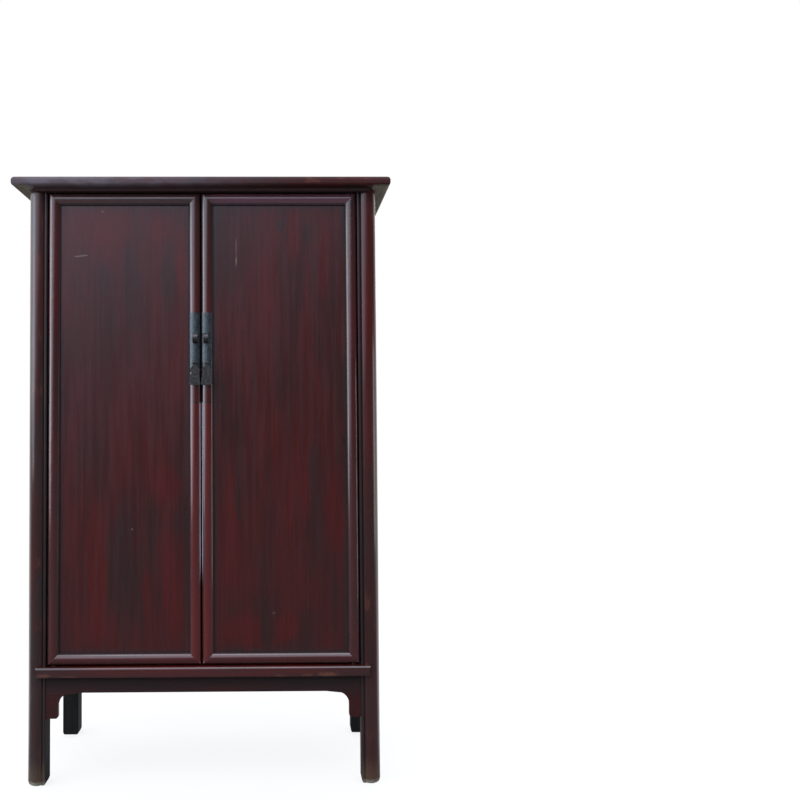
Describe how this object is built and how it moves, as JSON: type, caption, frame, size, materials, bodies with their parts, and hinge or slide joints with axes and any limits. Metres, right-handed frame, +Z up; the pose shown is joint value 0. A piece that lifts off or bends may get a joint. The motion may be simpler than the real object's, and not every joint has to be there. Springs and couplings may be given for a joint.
{
  "type": "tapered wood-hinged cabinet",
  "caption": "Tall tapered cabinet with panelled doors turning on wooden pivots, an overhanging mitred cap, splayed round-faced legs, shaped aprons, metal face plates and drop pulls.",
  "frame": {"origin": "on the floor under the middle of the cabinet", "axes": "+Z up, +X to the cabinet's right as seen from the front, the doors face -Y"},
  "size_m": [1.107, 0.528, 1.788],
  "materials": {
    "lacquer": "worn dark red-brown lacquer, semi-gloss",
    "lacquer_panel": "dark red-brown lacquer over fine upright grain, satin",
    "bare_wood": "aged bare softwood, matt",
    "grey_metal": "aged grey white-brass, dull satin"
  },
  "bodies": {
    "carcass": {"apron_front": "lacquer", "apron_left": "lacquer", "apron_right": "lacquer", "back_battens": "bare_wood", "back_muntin": "bare_wood", "back_panel_left": "bare_wood", "back_panel_right": "bare_wood", "base_rail_back": "lacquer", "base_rail_front": "lacquer", "base_rail_left": "lacquer", "base_rail_right": "lacquer", "cap_back_rail": "lacquer", "cap_battens": "bare_wood", "cap_front_rail": "lacquer", "cap_left_rail": "lacquer", "cap_panel": "lacquer_panel", "cap_right_rail": "lacquer", "floor_battens": "bare_wood", "floor_panel": "bare_wood", "lip_rail": "lacquer", "post_back_left": "lacquer", "post_back_right": "lacquer", "post_front_left": "lacquer", "post_front_right": "lacquer", "shelf_bearers_lower": "bare_wood", "shelf_bearers_upper": "bare_wood", "shelf_lower": "bare_wood", "shelf_upper": "bare_wood", "side_battens_left": "bare_wood", "side_battens_right": "bare_wood", "side_panel_left": "lacquer_panel", "side_panel_right": "lacquer_panel", "spandrels_front": "lacquer", "spandrels_left": "lacquer", "spandrels_right": "lacquer"},
    "left_door": {"left_door_battens": "bare_wood", "left_door_bottom_rail": "lacquer", "left_door_hinge_stile": "lacquer", "left_door_lock_stile": "lacquer", "left_door_panel": "lacquer_panel", "left_door_top_rail": "lacquer", "left_face_plate": "grey_metal", "left_lock_staple": "grey_metal", "left_plate_nails": "grey_metal", "left_pull_staple": "grey_metal"},
    "right_door": {"right_door_battens": "bare_wood", "right_door_bottom_rail": "lacquer", "right_door_hinge_stile": "lacquer", "right_door_lock_stile": "lacquer", "right_door_panel": "lacquer_panel", "right_door_top_rail": "lacquer", "right_face_plate": "grey_metal", "right_lock_staple": "grey_metal", "right_plate_nails": "grey_metal", "right_pull_staple": "grey_metal"},
    "left_pull": {"left_pull": "grey_metal"},
    "right_pull": {"right_pull": "grey_metal"}
  },
  "joints": [
    {"name": "left_door_hinge", "type": "hinge", "parent": "carcass", "child": "left_door", "pos_m": [-0.446, -0.212, -0.00005], "axis": [-0.0045, -0.0028, -1], "range_deg": [0, 100]},
    {"name": "right_door_hinge", "type": "hinge", "parent": "carcass", "child": "right_door", "pos_m": [0.446, -0.212, -0.00005], "axis": [-0.0045, 0.0028, 1], "range_deg": [0, 100]},
    {"name": "left_pull_swing", "type": "hinge", "parent": "left_door", "child": "left_pull", "pos_m": [-0.024, -0.23246, 1.24451], "axis": [-1, 0, 0], "range_deg": [0, 75]},
    {"name": "right_pull_swing", "type": "hinge", "parent": "right_door", "child": "right_pull", "pos_m": [0.012, -0.23246, 1.24451], "axis": [-1, 0, 0], "range_deg": [0, 75]}
  ]
}
